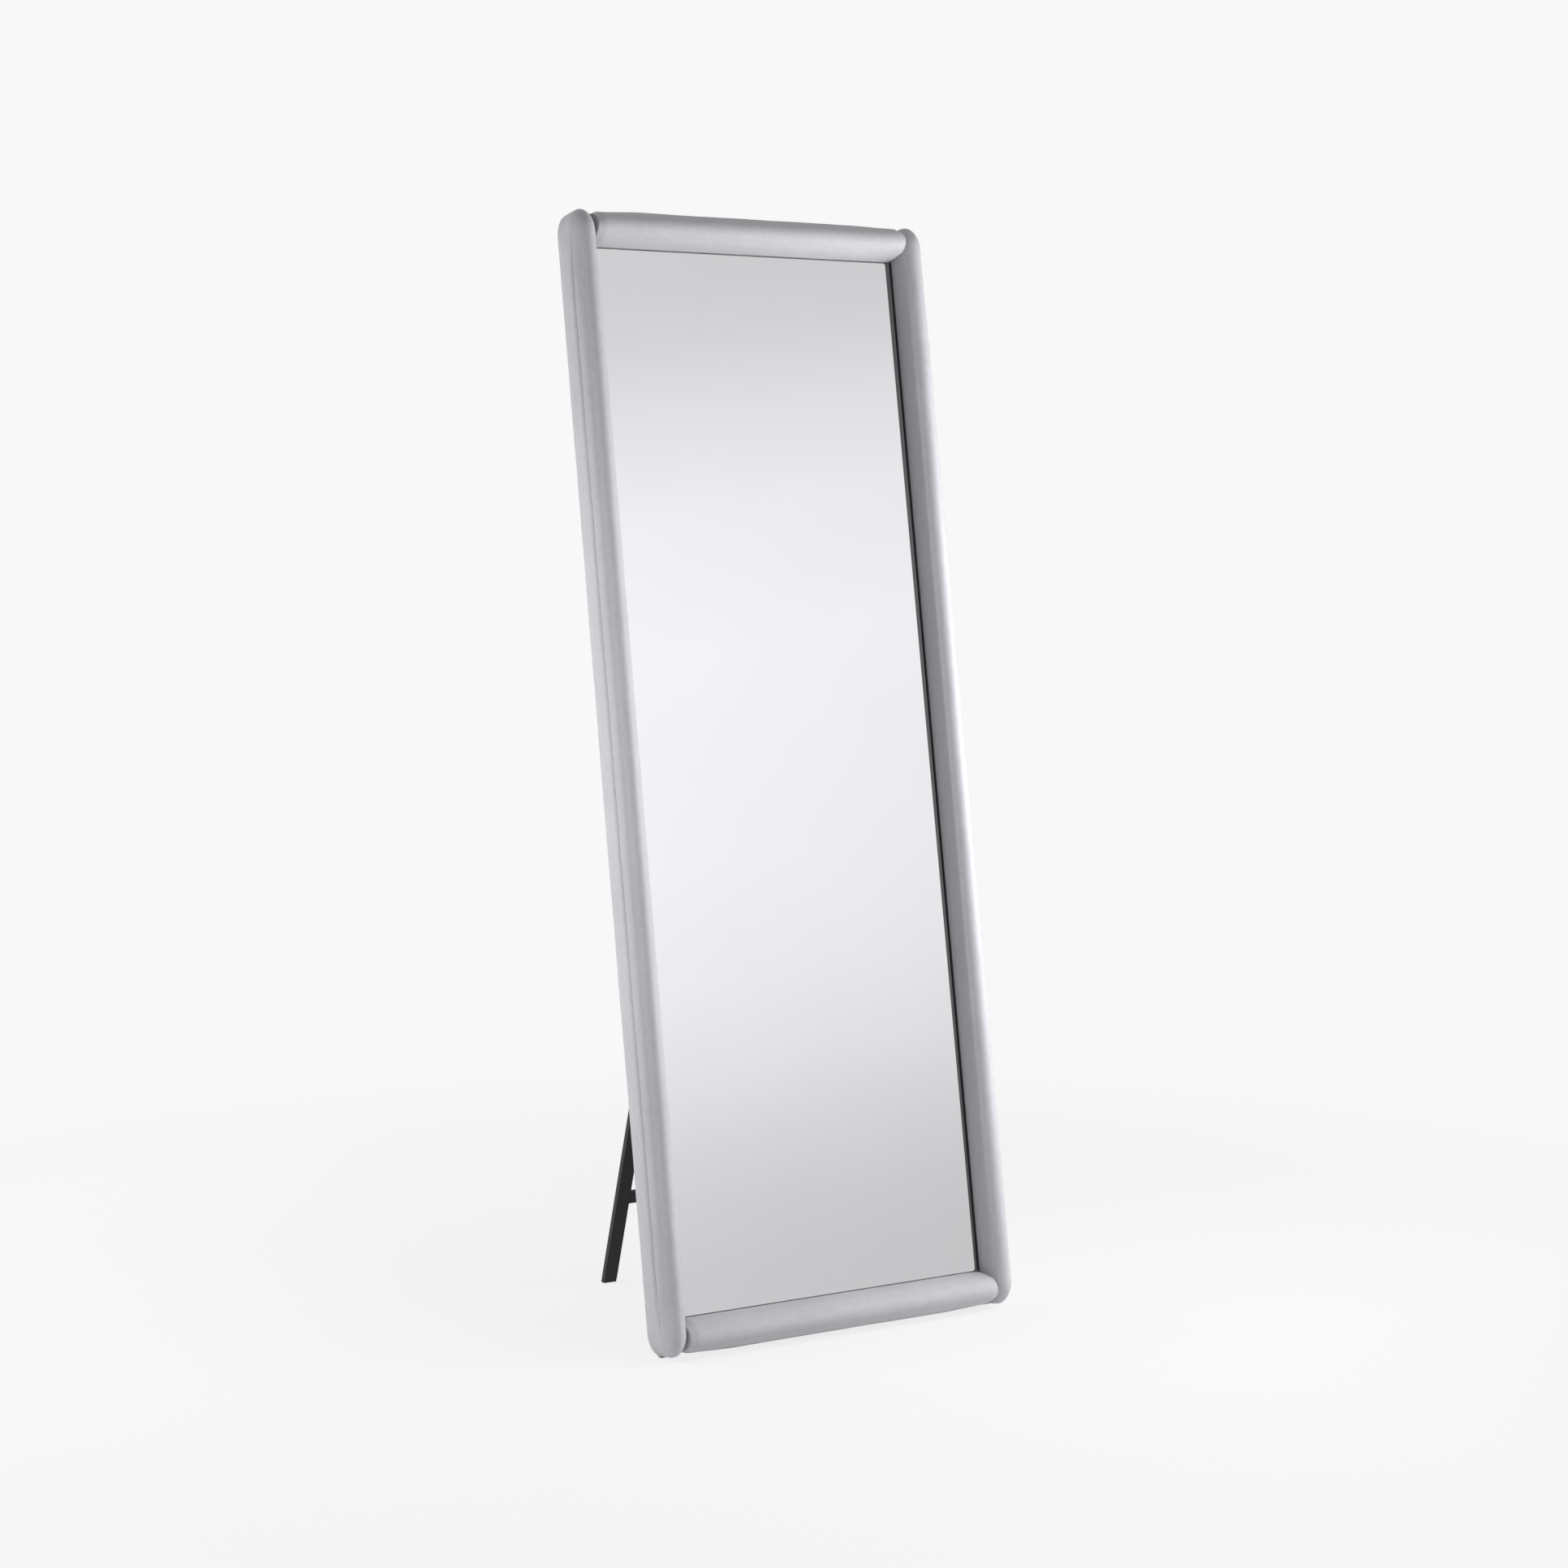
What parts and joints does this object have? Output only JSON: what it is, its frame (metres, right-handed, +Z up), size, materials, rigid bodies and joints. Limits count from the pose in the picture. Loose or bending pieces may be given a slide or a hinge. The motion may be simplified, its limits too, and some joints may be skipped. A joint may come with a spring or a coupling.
{
  "type": "leaning floor mirror",
  "caption": "Tall floor mirror in a silver-grey upholstered roll frame, leaning back on a folding two-legged black rear stand.",
  "frame": {"origin": "on the floor, in the middle of the ground that the mirror and its stand cover", "axes": "+Z up, the mirror faces -Y and leans back towards +Y, +X to the right as one faces the mirror"},
  "size_m": [0.654, 0.518, 1.7833],
  "materials": {
    "cover": "silver-grey short-pile upholstery",
    "core": "sawn softwood",
    "foam": "open-cell foam",
    "mirror": "silvered",
    "bead": "matte black",
    "board": "black-stained fibreboard",
    "timber": "black-stained softwood",
    "plate": "satin black powder coat",
    "rubber": "matte black",
    "pad": "matte grey",
    "pin": "zinc plated",
    "screw": "zinc plated",
    "stand_metal": "satin black powder coat"
  },
  "bodies": {
    "mirror_frame": {"stile_cover_left": "cover", "stile_core_left": "core", "stile_foam_left": "foam", "stile_cover_right": "cover", "stile_core_right": "core", "stile_foam_right": "foam", "rail_cover_top": "cover", "rail_core_top": "core", "rail_foam_top": "foam", "rail_cover_bottom": "cover", "rail_core_bottom": "core", "rail_foam_bottom": "foam", "mirror_glass": "mirror", "glass_bead_left": "bead", "glass_bead_right": "bead", "glass_bead_bottom": "bead", "glass_bead_top": "bead", "backing_board": "board", "cleat_left": "timber", "cleat_right": "timber", "cleat_bottom": "timber", "cleat_top": "timber", "hinge_batten": "timber", "corner_plate_top_right": "plate", "corner_plate_bottom_right": "plate", "corner_plate_bottom_left": "plate", "corner_plate_top_left": "plate", "floor_pad_left": "pad", "floor_pad_right": "pad", "hinge_bracket_left": "plate", "hinge_bracket_right": "plate", "hinge_pin_left": "pin", "hinge_pin_right": "pin", "hinge_screws": "screw"},
    "rear_stand": {"stand_leg_left": "stand_metal", "stand_leg_right": "stand_metal", "stand_crossbar": "stand_metal", "leg_plug_left": "rubber", "leg_plug_right": "rubber"}
  },
  "joints": [
    {"name": "stand_fold", "type": "hinge", "parent": "mirror_frame", "child": "rear_stand", "pos_m": [0, -0.0291, 0.85696], "axis": [1, 0, 0], "range_deg": [-27.5, 0]}
  ]
}
